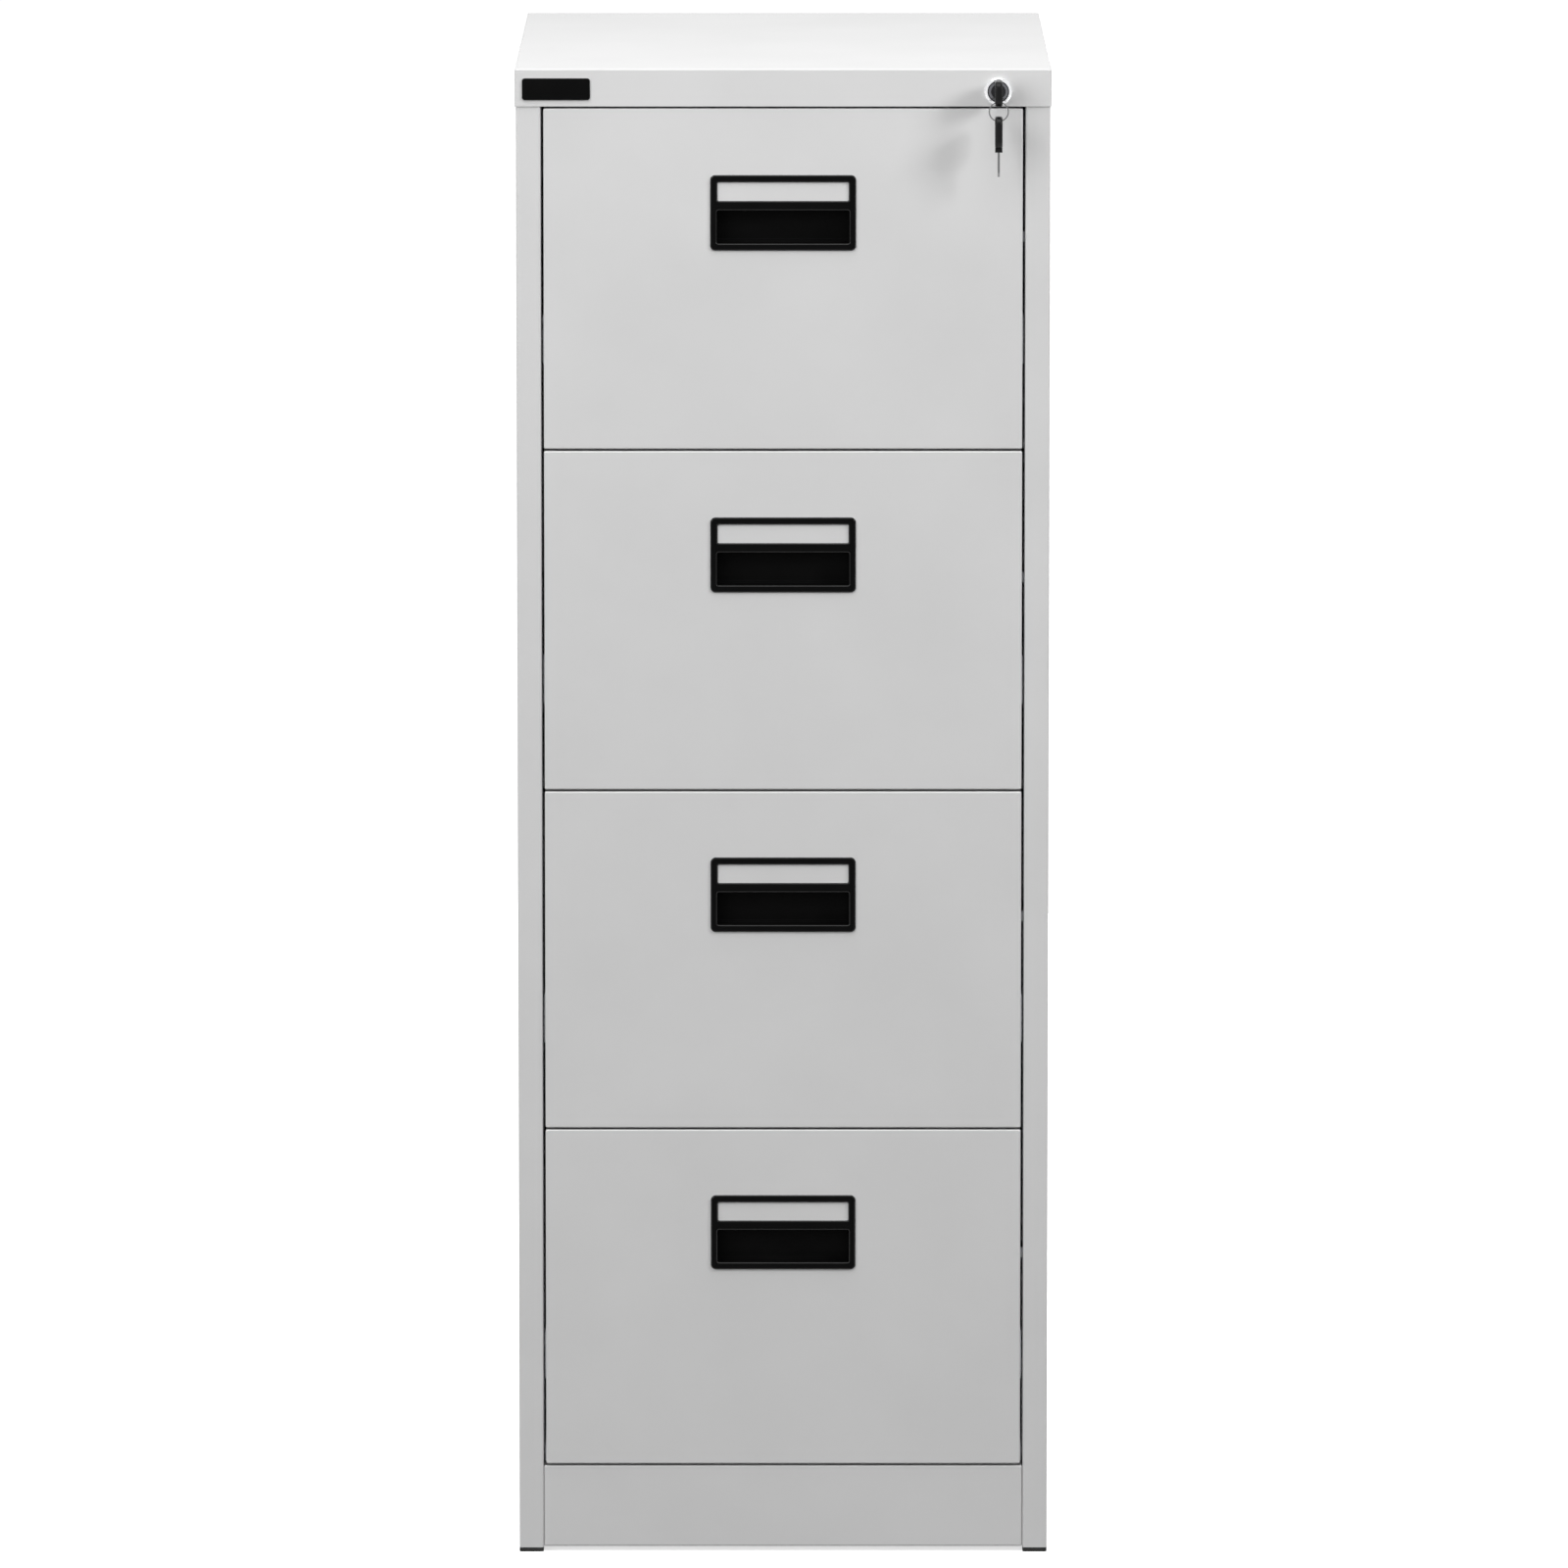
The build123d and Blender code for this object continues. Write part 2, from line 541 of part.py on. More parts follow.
def drawer_tray(z_front):
    """Bottom and sides from one sheet, with hems along the top and beads along the bottom."""
    z_low = z_front + TRAY_RISE
    z_high = z_low + TRAY_HEIGHT
    x_hem = TRAY_HALF - HEM
    with BuildPart() as tray:
        add(
            folded_strip(
                [
                    (-x_hem, z_high - HEM_DROP),
                    (-x_hem, z_high),
                    (-TRAY_HALF, z_high),
                    (-TRAY_HALF, z_low),
                    (TRAY_HALF, z_low),
                    (TRAY_HALF, z_high),
                    (x_hem, z_high),
                    (x_hem, z_high - HEM_DROP),
                ],
                -TRAY_LENGTH,
                Side.LEFT,
                facing_front(Y_PAN),
            )
        )
        beads = GridLocations(BEAD_SPACING, 1, BEADS, 1)
        bead_length = TRAY_LENGTH - 2 * BEAD_INSET
        with BuildSketch(Plane(origin=(0, Y_PAN + TRAY_LENGTH / 2, z_low + SHEET / 2))):
            with beads:
                SlotOverall(bead_length, 2 * BEAD_RADIUS, rotation=90)
        extrude(amount=-BEAD_DEPTH - SHEET / 2)
        with BuildSketch(Plane(origin=(0, Y_PAN + TRAY_LENGTH / 2, z_low + SHEET))):
            with beads:
                SlotOverall(bead_length - 2 * SHEET, 2 * (BEAD_RADIUS - SHEET), rotation=90)
        extrude(amount=-BEAD_DEPTH, mode=Mode.SUBTRACT)
    return tray.part


def drawer_catch(z_front):
    """Angle on the tray's right-hand side that the lock bar's lug stops."""
    with BuildPart() as angle:
        with BuildSketch(Plane.XY.offset(z_front + CATCH_RISE)):
            with BuildLine():
                Polyline(
                    (TRAY_HALF, Y_CATCH),
                    (TRAY_HALF + CATCH_REACH, Y_CATCH),
                    (TRAY_HALF + CATCH_REACH, Y_CATCH + CATCH_THICKNESS),
                    (TRAY_HALF + CATCH_THICKNESS, Y_CATCH + CATCH_THICKNESS),
                    (TRAY_HALF + CATCH_THICKNESS, Y_CATCH + CATCH_SEAT),
                    (TRAY_HALF, Y_CATCH + CATCH_SEAT),
                    close=True,
                )
            make_face()
        extrude(amount=LUG_HEIGHT)
    return angle.part


def handle(z_front):
    """Bezel with a label window, and a finger grip that reaches up behind its cross bar."""
    z_top = z_front + FRONT_HEIGHT - HANDLE_DROP
    z_grip = z_top - HANDLE_HEIGHT + HANDLE_RIM
    z_bar = z_grip + GRIP_HEIGHT
    with BuildPart() as moulding:
        with BuildSketch(facing_front(Y_FRONT)):
            with Locations((0, z_top - HANDLE_HEIGHT / 2)):
                RectangleRounded(HANDLE_WIDTH, HANDLE_HEIGHT, HANDLE_CORNER)
            with Locations((0, z_top - HANDLE_RIM - WINDOW_HEIGHT / 2)):
                RectangleRounded(
                    HANDLE_WIDTH - 2 * HANDLE_RIM, WINDOW_HEIGHT, HANDLE_EDGE, mode=Mode.SUBTRACT
                )
            with Locations((0, z_grip + GRIP_HEIGHT / 2)):
                RectangleRounded(2 * GRIP_HALF, GRIP_HEIGHT, HANDLE_EDGE, mode=Mode.SUBTRACT)
        extrude(amount=HANDLE_PROUD)
        fillet(moulding.faces().sort_by(Axis.Y)[0].edges(), HANDLE_EDGE)
        with BuildSketch(facing_side(-GRIP_HALF - GRIP_WALL)) as shell:
            with BuildLine():
                Polyline(
                    (Y_FRONT, z_grip - GRIP_WALL),
                    (Y_FRONT + GRIP_LEDGE + GRIP_WALL, z_grip - GRIP_WALL),
                    (Y_FRONT + GRIP_DEPTH + GRIP_WALL, z_grip + GRIP_SLOPE - GRIP_WALL),
                    (Y_FRONT + GRIP_DEPTH + GRIP_WALL, z_bar + BAR_UNDERCUT + GRIP_WALL),
                    (Y_FRONT, z_bar + BAR_UNDERCUT + GRIP_WALL),
                    close=True,
                )
            make_face()
            fillet(shell.vertices().sort_by(Axis.X)[2:], 2 * GRIP_WALL)
        extrude(amount=2 * (GRIP_HALF + GRIP_WALL))
        with BuildSketch(facing_side(-GRIP_HALF)) as hollow:
            with BuildLine():
                Polyline(
                    (Y_FRONT, z_grip),
                    (Y_FRONT + GRIP_LEDGE, z_grip),
                    (Y_FRONT + GRIP_DEPTH, z_grip + GRIP_SLOPE),
                    (Y_FRONT + GRIP_DEPTH, z_bar + BAR_UNDERCUT),
                    (Y_FRONT + BAR_BACK, z_bar + BAR_UNDERCUT),
                    (Y_FRONT + BAR_BACK, z_bar),
                    (Y_FRONT, z_bar),
                    close=True,
                )
            make_face()
            fillet(hollow.vertices().sort_by(Axis.X)[4:], GRIP_WALL)
        extrude(amount=2 * GRIP_HALF, mode=Mode.SUBTRACT)
        with BuildSketch(Plane.XY.offset(z_grip + GRIP_HEIGHT / 2 - CLIP_LENGTH / 2)):
            for side in (1, -1):
                with BuildLine():
                    Polyline(
                        (side * (GRIP_HALF + GRIP_WALL), Y_FRONT + SHEET + FIT),
                        (side * (GRIP_HALF + GRIP_WALL + CLIP_REACH), Y_FRONT + SHEET + FIT),
                        (side * (GRIP_HALF + GRIP_WALL), Y_FRONT + SHEET + FIT + CLIP_DEPTH),
                        close=True,
                    )
                make_face()
        extrude(amount=CLIP_LENGTH)
    return moulding.part


for number in range(1, DRAWERS + 1):
    z_front = front_bottom(number)
    z_tray = z_front + TRAY_RISE
    save(drawer_front(z_front), f"drawer_front_{number}")
    liner = folded_pan(
        FRONT_HALF - SHEET - FIT,
        Y_PAN - LINER_DEPTH,
        Y_PAN,
        z_front + SHEET + FIT,
        z_tray + TRAY_HEIGHT,
        0,
    )
    save(liner, f"drawer_liner_{number}")
    save(drawer_tray(z_front), f"drawer_tray_{number}")
    save(drawer_catch(z_front), f"drawer_catch_{number}")
    rear = folded_pan(TRAY_HALF, Y_TRAY_END, Y_TRAY_END + BACK_FLANGE, z_tray, z_tray + TRAY_HEIGHT, -1)
    save(rear, f"drawer_back_{number}")
    save(handle(z_front), f"handle_{number}")

# Name plate, left bare
with BuildPart() as badge_plate:
    with BuildSketch(facing_front(Y_CAP_FRONT)):
        with Locations((BADGE_INSET + BADGE_WIDTH / 2 - X_CAP, HEIGHT - BADGE_DROP - BADGE_HEIGHT / 2)):
            RectangleRounded(BADGE_WIDTH, BADGE_HEIGHT, BADGE_CORNER)
    extrude(amount=BADGE_THICKNESS)
    fillet(badge_plate.faces().sort_by(Axis.Y)[0].edges(), BADGE_EDGE)
save(badge_plate.part, "badge_plate")

# Lock: turned housing with a grooved bezel, nut, plug with a keyway, cam with its pin, and cam screw
LOCK_AXIS = Axis((X_LOCK, 0, Z_LOCK), (0, 1, 0))
with BuildPart() as lock_housing:
    with BuildSketch(Plane(origin=(X_LOCK, Y_CAP_FRONT, Z_LOCK), x_dir=(1, 0, 0), z_dir=(0, 0, 1))):
        with BuildLine():
            bore = PLUG_RADIUS + PLUG_CLEARANCE
            Polyline(
                (bore, -BEZEL_PROUD),
                (BEZEL_GROOVE_RADIUS - BEZEL_GROOVE, -BEZEL_PROUD),
                (BEZEL_GROOVE_RADIUS - BEZEL_GROOVE, BEZEL_GROOVE - BEZEL_PROUD),
                (BEZEL_GROOVE_RADIUS, BEZEL_GROOVE - BEZEL_PROUD),
                (BEZEL_GROOVE_RADIUS, -BEZEL_PROUD),
                (BEZEL_RADIUS - BEZEL_EDGE, -BEZEL_PROUD),
                (BEZEL_RADIUS, BEZEL_EDGE - BEZEL_PROUD),
                (BEZEL_RADIUS, 0),
                (BARREL_RADIUS, 0),
                (BARREL_RADIUS, BARREL_LENGTH),
                (bore, BARREL_LENGTH),
                close=True,
            )
        make_face()
    revolve(axis=LOCK_AXIS)
save(lock_housing.part, "lock_housing")

with BuildPart() as lock_nut:
    with BuildSketch(facing_front(Y_FRONT + SHEET)):
        with Locations((X_LOCK, Z_LOCK)):
            RegularPolygon(NUT_FLATS / 2, 6, major_radius=False)
            Circle(BARREL_RADIUS, mode=Mode.SUBTRACT)
    extrude(amount=-NUT_THICKNESS)
save(lock_nut.part, "lock_nut")

Y_PLUG = Y_BEZEL + PLUG_RECESS
with BuildPart() as lock_plug:
    with BuildSketch(facing_front(Y_PLUG)):
        with Locations((X_LOCK, Z_LOCK)):
            Circle(PLUG_RADIUS)
    extrude(amount=Y_PLUG - Y_CAM)
    with BuildSketch(facing_front(Y_PLUG)):
        with Locations((X_LOCK, Z_LOCK)):
            Rectangle(KEY_BLADE_THICKNESS + 2 * KEY_WAY_FIT, KEY_BLADE_WIDTH + 2 * KEY_WAY_FIT)
    extrude(amount=Y_PLUG - Y_KEY - KEY_BLADE_LENGTH - KEY_WAY_FIT, mode=Mode.SUBTRACT)
    with BuildSketch(facing_front(Y_CAM)):
        with Locations((X_LOCK, Z_LOCK)):
            Circle(CAM_SCREW_RADIUS)
    extrude(amount=CAM_SCREW_LENGTH, mode=Mode.SUBTRACT)
save(lock_plug.part, "lock_plug")

with BuildPart() as lock_cam:
    with BuildSketch(facing_front(Y_CAM)):
        with Locations((X_LOCK, Z_LOCK)):
            Circle(PLUG_RADIUS)
        with Locations((PIN_X, PIN_Z)):
            Circle(CAM_RADIUS)
        make_hull()
        with Locations((X_LOCK, Z_LOCK)):
            Circle(CAM_SCREW_RADIUS, mode=Mode.SUBTRACT)
    extrude(amount=-CAM_THICKNESS)
    with BuildSketch(facing_front(Y_CAM_BACK)):
        with Locations((PIN_X, PIN_Z)):
            Circle(PIN_RADIUS)
    extrude(amount=Y_CAM_BACK - Y_BAR - BAR_THICKNESS - PIN_TAIL)
save(lock_cam.part, "lock_cam")

with BuildPart() as cam_screw:
    with BuildSketch(facing_front(Y_CAM_BACK)):
        with Locations((X_LOCK, Z_LOCK)):
            Circle(CAM_SCREW_RADIUS)
    extrude(amount=CAM_THICKNESS + CAM_SCREW_LENGTH)
    with BuildSketch(facing_front(Y_CAM_BACK)):
        with Locations((X_LOCK, Z_LOCK)):
            Circle(CAM_SCREW_HEAD_RADIUS)
    extrude(amount=-CAM_SCREW_HEAD, taper=CAM_SCREW_TAPER)
save(cam_screw.part, "cam_screw")

# Lock bar: a flat blank with a slotted arm for the cam's pin
with BuildPart() as lock_bar:
    slot_radius = PIN_RADIUS + SLOT_CLEARANCE
    z_arm_low = PIN_Z - slot_radius - SLOT_EDGE
    z_arm_high = PIN_Z + slot_radius + SLOT_EDGE
    x_arm = X_LOCK - CAM_THROW - slot_radius - SLOT_EDGE
    z_bar_low = front_bottom(DRAWERS) + CATCH_RISE - BAR_TAIL
    with BuildSketch(facing_front(Y_BAR)) as blank:
        with BuildLine():
            Polyline(
                (X_BAR_INNER, z_bar_low),
                (X_BAR_OUTER, z_bar_low),
                (X_BAR_OUTER, z_arm_high),
                (x_arm, z_arm_high),
                (x_arm, z_arm_low),
                (X_BAR_INNER, z_arm_low),
                close=True,
            )
        make_face()
        fillet(blank.vertices(), SLOT_EDGE - SLOT_CLEARANCE)
        x_slot_low = X_LOCK - CAM_THROW - slot_radius
        x_slot_high = PIN_X + slot_radius
        with Locations(((x_slot_low + x_slot_high) / 2, PIN_Z)):
            SlotOverall(x_slot_high - x_slot_low, 2 * slot_radius, mode=Mode.SUBTRACT)
    extrude(amount=-BAR_THICKNESS)
save(lock_bar.part, "lock_bar")

# Lugs riveted to the bar, one below each drawer's catch
with BuildPart() as bar_lugs:
    x_lug = TRAY_HALF + CATCH_REACH - LUG_BITE
    x_seat = X_BAR_INNER + LUG_SEAT
    for number in range(1, DRAWERS + 1):
        z_lug = front_bottom(number) + CATCH_RISE - LUG_DROP - LUG_HEIGHT / 2
        with BuildSketch(facing_front(Y_LUG)):
            with Locations(((x_lug + x_seat) / 2, z_lug)):
                RectangleRounded(x_seat - x_lug, LUG_HEIGHT, LUG_THICKNESS)
        extrude(amount=-LUG_THICKNESS)
save(bar_lugs.part, "bar_lugs")

# Guides that hold the bar against the side panel
with BuildPart() as bar_guides:
    x_guide = X_BAR_INNER - GUIDE_FIT - GUIDE_WALL
    y_guide = Y_BAR + BAR_THICKNESS / 2
    for number in range(1, GUIDES + 1):
        z_guide = front_bottom(number) + CATCH_RISE - FRONT_HEIGHT / 2
        with BuildSketch(Plane.XY.offset(z_guide - GUIDE_HEIGHT / 2)):
            with Locations(((x_guide + X_INSIDE) / 2, y_guide)):
                RectangleRounded(X_INSIDE - x_guide, GUIDE_DEPTH, GUIDE_WALL / 2)
            with Locations(((X_BAR_INNER + X_BAR_OUTER) / 2, y_guide)):
                Rectangle(
                    BAR_WIDTH + 2 * GUIDE_FIT, BAR_THICKNESS + 2 * GUIDE_FIT, mode=Mode.SUBTRACT
                )
        extrude(amount=GUIDE_HEIGHT)
save(bar_guides.part, "bar_guides")


# Keys: a cut blade moulded into a head with a slotted eye
def key_blade(plane):
    """Blade from its root in the head to its tip, along the plane's X, with cuts along one edge."""
    pitch = KEY_BLADE_LENGTH / (KEY_CUTS + 2)
    half = KEY_BLADE_WIDTH / 2
    edge = [(-KEY_BLADE_ROOT, half)]
    for cut in range(KEY_CUTS):
        start = (cut + 1) * pitch
        depth = KEY_CUT_DEEP if cut % 2 else KEY_CUT_SHALLOW
        edge += [(start, half), (start + pitch / 2, half - depth)]
    edge += [((KEY_CUTS + 1) * pitch, half), (KEY_BLADE_LENGTH, half / 3)]
    edge += [(KEY_BLADE_LENGTH, -half / 3), (KEY_BLADE_LENGTH - half, -half), (-KEY_BLADE_ROOT, -half)]
    with BuildPart() as blade:
        with BuildSketch(plane):
            with BuildLine():
                Polyline(*edge, close=True)
            make_face()
        extrude(amount=KEY_BLADE_THICKNESS / 2, both=True)
    return blade.part


def key_head(plane):
    """Moulded head and neck behind the plane's origin, hollowed for the blade's root."""
    length = KEY_HEAD_LENGTH - KEY_NECK
    with BuildPart() as head:
        with BuildSketch(plane):
            with Locations((-KEY_NECK - length / 2, 0)):
                RectangleRounded(length, KEY_HEAD_WIDTH, KEY_HEAD_CORNER)
        extrude(amount=KEY_HEAD_THICKNESS / 2, both=True)
        flat = head.faces().sort_by(Axis(plane.origin, plane.z_dir))
        fillet(flat[0].edges() + flat[-1].edges(), KEY_HEAD_EDGE)
        with BuildSketch(plane):
            with Locations((-KEY_NECK, 0)):
                RectangleRounded(2 * KEY_NECK, KEY_NECK_WIDTH, KEY_NECK / 3)
        extrude(amount=KEY_NECK_THICKNESS / 2, both=True)
        with BuildSketch(plane):
            with Locations((-EYE_CENTRE, 0)):
                SlotOverall(EYE_LENGTH, EYE_WIDTH, rotation=90)
        extrude(amount=KEY_HEAD_THICKNESS, both=True, mode=Mode.SUBTRACT)
        with BuildSketch(plane):
            with Locations((-KEY_BLADE_ROOT / 2, 0)):
                Rectangle(KEY_BLADE_ROOT, KEY_BLADE_WIDTH)
        extrude(amount=KEY_BLADE_THICKNESS / 2, both=True, mode=Mode.SUBTRACT)
    return head.part


in_lock = Plane(origin=(X_LOCK, Y_KEY, Z_LOCK), x_dir=(0, 1, 0), z_dir=(1, 0, 0))
hanging = Plane(origin=(X_LOCK, Y_RING, Z_SPARE), x_dir=(0, 0, -1), z_dir=(1, 0, 0))
save(key_blade(in_lock), "key_blade")
save(key_head(in_lock), "key_head")
save(key_blade(hanging), "spare_key_blade")
save(key_head(hanging), "spare_key_head")

# Wire ring through the eyes of both keys
with BuildPart() as key_ring:
    with Locations((X_LOCK, Y_RING, Z_RING)):
        Torus(RING_RADIUS, RING_WIRE / 2, rotation=(90, 0, 0))
save(key_ring.part, "key_ring")
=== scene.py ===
import math

import bpy
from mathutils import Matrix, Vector


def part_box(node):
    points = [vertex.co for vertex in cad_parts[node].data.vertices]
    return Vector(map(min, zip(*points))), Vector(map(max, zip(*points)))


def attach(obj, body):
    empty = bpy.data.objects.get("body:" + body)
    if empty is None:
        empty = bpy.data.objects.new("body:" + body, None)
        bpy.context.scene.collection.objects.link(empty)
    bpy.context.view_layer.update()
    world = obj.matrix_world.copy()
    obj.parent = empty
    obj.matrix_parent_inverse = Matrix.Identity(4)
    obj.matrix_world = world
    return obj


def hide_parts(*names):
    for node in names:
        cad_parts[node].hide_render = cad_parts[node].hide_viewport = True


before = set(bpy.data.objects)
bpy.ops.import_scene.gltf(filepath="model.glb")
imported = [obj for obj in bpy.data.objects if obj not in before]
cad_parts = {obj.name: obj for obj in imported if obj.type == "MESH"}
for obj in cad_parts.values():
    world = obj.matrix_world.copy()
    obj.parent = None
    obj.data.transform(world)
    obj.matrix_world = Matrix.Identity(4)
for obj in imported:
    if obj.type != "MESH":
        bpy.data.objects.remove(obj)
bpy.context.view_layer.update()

# Carcass: side panels, back and rails are folded from thin steel sheet, spot-welded and then
# powder-coated light grey. The cured coat is smooth and half matt, with a faint orange peel.


def linear(colour):
    """The linear colour that a shader takes, from an sRGB hex value."""
    channels = [int(colour[i:i + 2], 16) / 255 for i in (1, 3, 5)]
    return (*[c / 12.92 if c <= 0.04045 else ((c + 0.055) / 1.055) ** 2.4 for c in channels], 1)


def start_material(name):
    """A new material and its empty node tree."""
    material = bpy.data.materials.new(name)
    material.use_nodes = True
    material.node_tree.nodes.clear()
    return material, material.node_tree


def add_node(tree, kind, inputs=None, stops=(), **settings):
    """Adds a node. An input is a value or an output to link, and a stop a place and a colour."""
    node = tree.nodes.new(kind)
    for name, value in settings.items():
        setattr(node, name, value)
    for name, value in (inputs or {}).items():
        if isinstance(value, bpy.types.NodeSocket):
            tree.links.new(value, node.inputs[name])
        else:
            node.inputs[name].default_value = value
    for index, (position, colour) in enumerate(stops):
        elements = node.color_ramp.elements
        if index == len(elements):
            elements.new(position)
        elements[index].position = position
        elements[index].color = linear(colour)
    return node


def dress(material, *names):
    """Gives CAD nodes their finish."""
    for name in names:
        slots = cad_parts[name].data.materials
        slots.clear()
        slots.append(material)


# Powder coat: half matt, a little uneven in tone over a hand's width. The peel of about 0.8 mm is
# too fine for the render, so it is drawn three times as coarse.
COAT_PATCH = 0.11
COAT_PEEL = 0.0024
COAT_PEEL_DEPTH = 0.0002
powder_coat, tree = start_material("light_grey_powder_coat")
place = add_node(tree, "ShaderNodeTexCoord").outputs["Object"]
patches = add_node(
    tree, "ShaderNodeTexNoise", {"Vector": place, "Scale": 1 / COAT_PATCH, "Detail": 3}
)
tones = add_node(
    tree,
    "ShaderNodeValToRGB",
    {"Fac": patches.outputs["Fac"]},
    stops=((0.3, "#CCCCCC"), (0.7, "#D0D0D0")),
)
sheen = add_node(
    tree, "ShaderNodeMapRange", {"Value": patches.outputs["Fac"], "To Min": 0.42, "To Max": 0.5}
)
peel = add_node(
    tree, "ShaderNodeTexNoise", {"Vector": place, "Scale": 1 / COAT_PEEL, "Detail": 2}
)
relief = add_node(
    tree,
    "ShaderNodeBump",
    {"Height": peel.outputs["Fac"], "Strength": 0.12, "Distance": COAT_PEEL_DEPTH},
)
coat = add_node(
    tree,
    "ShaderNodeBsdfPrincipled",
    {
        "Base Color": tones.outputs["Color"],
        "Roughness": sheen.outputs["Result"],
        "Normal": relief.outputs["Normal"],
    },
)
add_node(tree, "ShaderNodeOutputMaterial", {"Surface": coat.outputs["BSDF"]})
dress(powder_coat, "side_panel_left", "side_panel_right", "back_panel", "top_rail", "rear_rail")

# Cap and kick plate: the cap is one pressed pan that is dropped over the carcass, and the kick
# plate is a folded pan between the posts. Both are coated with the carcass.
dress(powder_coat, "top_cap", "plinth")

# Spot welds: the sides' rear flanges are welded to the back panel every 120 mm, before coating.
# Each weld leaves a shallow round dish under the coat.
WELD_RADIUS = 0.003
WELD_HEIGHT = 0.0005
WELD_MARGIN = WELD_RADIUS / 4
WELD_SINK = WELD_HEIGHT / 3
WELD_SPACING = 0.12
WELD_INSET = 0.01
WELD_ROWS = 10
ROUND_SIDES = 24
FACING = 0.9
SMOOTH_ANGLE = 40


def round_edges(piece, width):
    """Rounds a piece's sharp edges, and leaves it smooth and with its place in its mesh."""
    rounding = piece.modifiers.new("rounded edges", "BEVEL")
    rounding.width = width
    rounding.segments = 2
    rounding.limit_method = "ANGLE"
    bpy.ops.object.modifier_apply(modifier="rounded edges")
    bpy.ops.object.transform_apply(location=True, rotation=True, scale=True)
    bpy.ops.object.shade_smooth_by_angle(angle=math.radians(SMOOTH_ANGLE))


def face_outwards():
    """Turns all faces of the active piece outwards."""
    bpy.ops.object.mode_set(mode="EDIT")
    bpy.ops.mesh.select_all(action="SELECT")
    bpy.ops.mesh.normals_make_consistent(inside=False)
    bpy.ops.object.mode_set(mode="OBJECT")


def shape_end(piece, margin, sink):
    """Insets the round end that faces along the piece's own axis, and sinks it into a dish."""
    bpy.ops.object.mode_set(mode="EDIT")
    bpy.ops.mesh.select_mode(type="FACE")
    bpy.ops.mesh.select_all(action="DESELECT")
    bpy.ops.object.mode_set(mode="OBJECT")
    for face in piece.data.polygons:
        face.select = face.normal.z > FACING
    bpy.ops.object.mode_set(mode="EDIT")
    bpy.ops.mesh.inset(thickness=margin)
    bpy.ops.transform.translate(value=(0, 0, -sink), orient_type="LOCAL")
    bpy.ops.object.mode_set(mode="OBJECT")
    round_edges(piece, sink / 2)


def copy_by(piece, shift):
    """A copy of a piece, with its own mesh, moved by a shift."""
    bpy.ops.object.select_all(action="DESELECT")
    piece.select_set(True)
    bpy.context.view_layer.objects.active = piece
    bpy.ops.object.duplicate()
    bpy.ops.transform.translate(value=shift)
    bpy.ops.object.transform_apply(location=True, rotation=True, scale=True)
    return bpy.context.object


def join_and_mirror(pieces, name):
    """Joins copies into one piece and mirrors it to the other side of the cabinet."""
    bpy.ops.object.select_all(action="DESELECT")
    for piece in pieces:
        piece.select_set(True)
    bpy.context.view_layer.objects.active = pieces[0]
    bpy.ops.object.join()
    whole = bpy.context.object
    whole.name = name
    other_side = whole.modifiers.new("other side", "MIRROR")
    other_side.use_mirror_merge = False
    bpy.ops.object.modifier_apply(modifier="other side")
    face_outwards()
    return whole


side_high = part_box("side_panel_right")[1]
bpy.ops.object.select_all(action="DESELECT")
bpy.ops.mesh.primitive_cylinder_add(
    vertices=ROUND_SIDES,
    radius=WELD_RADIUS,
    depth=WELD_HEIGHT,
    location=(side_high.x - WELD_INSET, side_high.y, WELD_SPACING),
    rotation=(math.radians(-90), 0, 0),
)
weld = bpy.context.object
shape_end(weld, WELD_MARGIN, WELD_SINK)
welds = [weld] + [copy_by(weld, (0, 0, row * WELD_SPACING)) for row in range(1, WELD_ROWS)]
spot_welds = join_and_mirror(welds, "back_spot_welds")
spot_welds.data.materials.append(powder_coat)
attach(spot_welds, "cabinet")

# Foot caps: black polyethylene pads, moulded with a plug that is pushed into each corner. They are
# waxy and matt, scuffed a little paler where they were slid along the floor.
FOOT_SCUFF = 0.006
FOOT_SCUFF_DEPTH = 0.0001
foot_plastic, tree = start_material("black_polyethylene")
place = add_node(tree, "ShaderNodeTexCoord").outputs["Object"]
scuffs = add_node(
    tree, "ShaderNodeTexNoise", {"Vector": place, "Scale": 1 / FOOT_SCUFF, "Detail": 4}
)
tones = add_node(
    tree,
    "ShaderNodeValToRGB",
    {"Fac": scuffs.outputs["Fac"]},
    stops=((0.45, "#0E0E0E"), (0.8, "#1F1F1F")),
)
relief = add_node(
    tree,
    "ShaderNodeBump",
    {"Height": scuffs.outputs["Fac"], "Strength": 0.2, "Distance": FOOT_SCUFF_DEPTH},
)
wax = add_node(
    tree,
    "ShaderNodeBsdfPrincipled",
    {
        "Base Color": tones.outputs["Color"],
        "Roughness": 0.55,
        "Specular IOR Level": 0.25,
        "Normal": relief.outputs["Normal"],
    },
)
add_node(tree, "ShaderNodeOutputMaterial", {"Surface": wax.outputs["BSDF"]})
dress(foot_plastic, "foot_caps")

